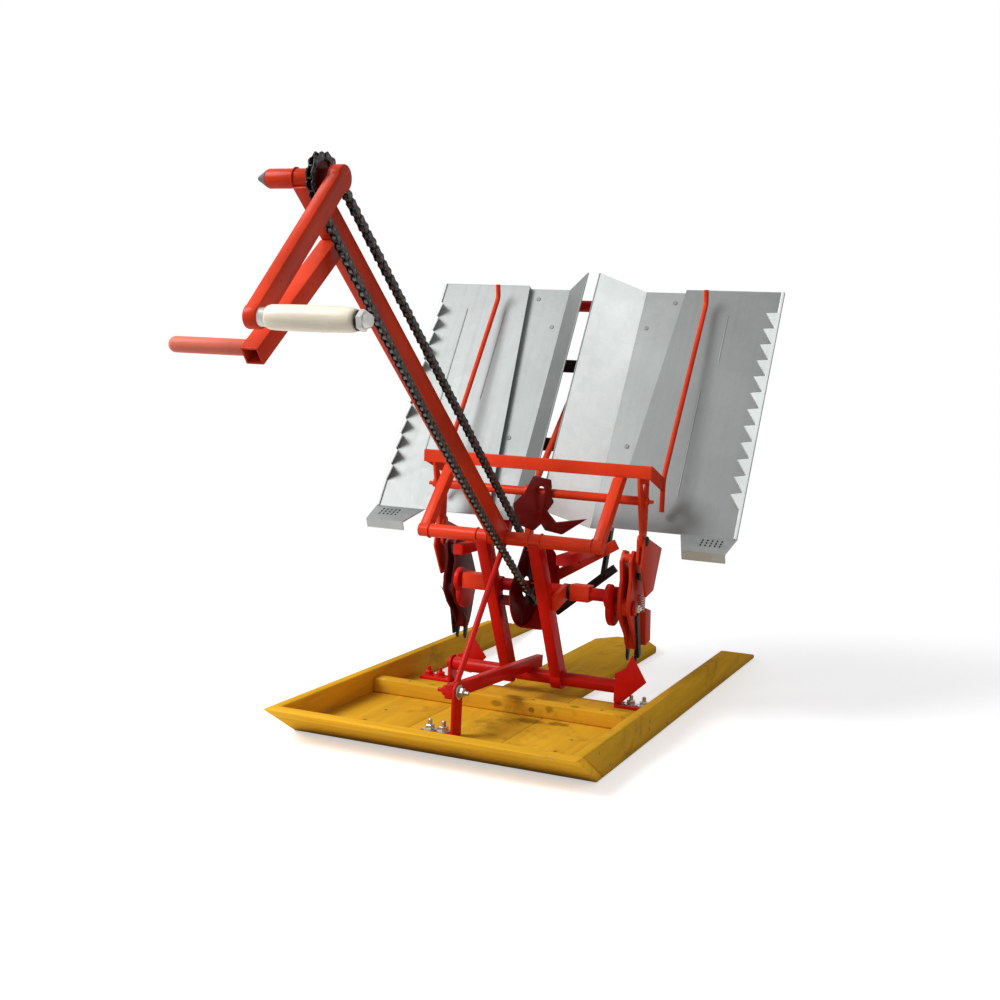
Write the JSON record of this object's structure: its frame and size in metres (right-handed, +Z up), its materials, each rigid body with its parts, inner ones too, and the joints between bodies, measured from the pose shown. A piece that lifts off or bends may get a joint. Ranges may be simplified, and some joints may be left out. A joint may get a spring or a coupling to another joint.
{
  "type": "manual rice transplanter",
  "caption": "Hand-cranked two-row rice transplanter: wooden float, leaning seedling tray on rails, chain-driven shaft with planting arms, pull handle and crank.",
  "frame": {"origin": "on the float's sole, on the centre line, below the main shaft's area", "axes": "+Z up, +Y away from the operator, +X to the operator's right as they face the machine"},
  "size_m": [0.624, 1.4266, 0.7708],
  "materials": {
    "float_paint": "scuffed ochre paint",
    "crimson_paint": "gloss crimson paint",
    "red_paint": "gloss orange-red paint",
    "bright_steel": "turned steel",
    "dark_steel": "oiled black steel",
    "galvanised": "galvanised sheet",
    "grip_wood": "pale lacquered wood"
  },
  "bodies": {
    "frame": {"float_front": "float_paint", "float_sides": "float_paint", "float_floor": "float_paint", "float_cross": "float_paint", "float_keel": "float_paint", "base_tube": "crimson_paint", "rear_brackets": "crimson_paint", "front_bracket": "crimson_paint", "depth_arm": "crimson_paint", "brace_rod": "crimson_paint", "mud_plates": "crimson_paint", "legs": "crimson_paint", "chain_guard": "crimson_paint", "tray_beams": "crimson_paint", "tray_posts": "crimson_paint", "tray_rails": "crimson_paint", "front_tube": "red_paint", "side_bars": "red_paint", "u_strap": "red_paint", "strap_ends": "red_paint", "press_rods": "red_paint", "hangers": "red_paint", "main_arm": "red_paint", "bearing_tube": "red_paint", "handle_arm": "red_paint", "handle_bar": "red_paint", "shaft_blocks": "red_paint", "guide_rod": "red_paint", "cross_link": "red_paint", "chain": "dark_steel", "rail_stay": "dark_steel"},
    "crank": {"crank_shaft": "bright_steel", "top_sprocket": "dark_steel", "crank_arm": "red_paint"},
    "grip": {"grip": "grip_wood"},
    "main_shaft": {"main_shaft": "crimson_paint", "lower_sprocket": "dark_steel", "crank_discs": "crimson_paint"},
    "planter_left": {"planting_arm_left": "red_paint", "claw_left": "dark_steel"},
    "planter_right": {"planting_arm_right": "red_paint", "claw_right": "dark_steel"},
    "tray": {"tray_left": "galvanised", "tray_right": "galvanised", "ridge_left": "galvanised", "ridge_right": "galvanised", "tray_bridge": "dark_steel", "feed_strut": "red_paint", "feed_plate": "crimson_paint"}
  },
  "joints": [
    {"name": "crank_turn", "type": "hinge", "parent": "frame", "child": "crank", "pos_m": [0, -0.657, 0.74183], "axis": [1, 0, 0], "continuous": true},
    {"name": "grip_spin", "type": "hinge", "parent": "crank", "child": "grip", "pos_m": [0.09, -0.81256, 0.58626], "axis": [1, 0, 0], "continuous": true},
    {"name": "main_shaft_turn", "type": "hinge", "parent": "frame", "child": "main_shaft", "pos_m": [0, 0.04, 0.19], "axis": [1, 0, 0], "continuous": true},
    {"name": "planter_left_turn", "type": "hinge", "parent": "main_shaft", "child": "planter_left", "pos_m": [-0.15, 0.06298, 0.17072], "axis": [1, 0, 0], "continuous": true},
    {"name": "planter_right_turn", "type": "hinge", "parent": "main_shaft", "child": "planter_right", "pos_m": [0.15, 0.06298, 0.17072], "axis": [1, 0, 0], "continuous": true},
    {"name": "tray_slide", "type": "slide", "parent": "frame", "child": "tray", "axis": [1, 0, 0], "range_m": [-0.045, 0.045]}
  ],
  "couplings": [
    {"joint": "main_shaft_turn", "follows": "crank_turn", "ratio": 1},
    {"joint": "planter_left_turn", "follows": "crank_turn", "ratio": -1},
    {"joint": "planter_right_turn", "follows": "crank_turn", "ratio": -1}
  ]
}
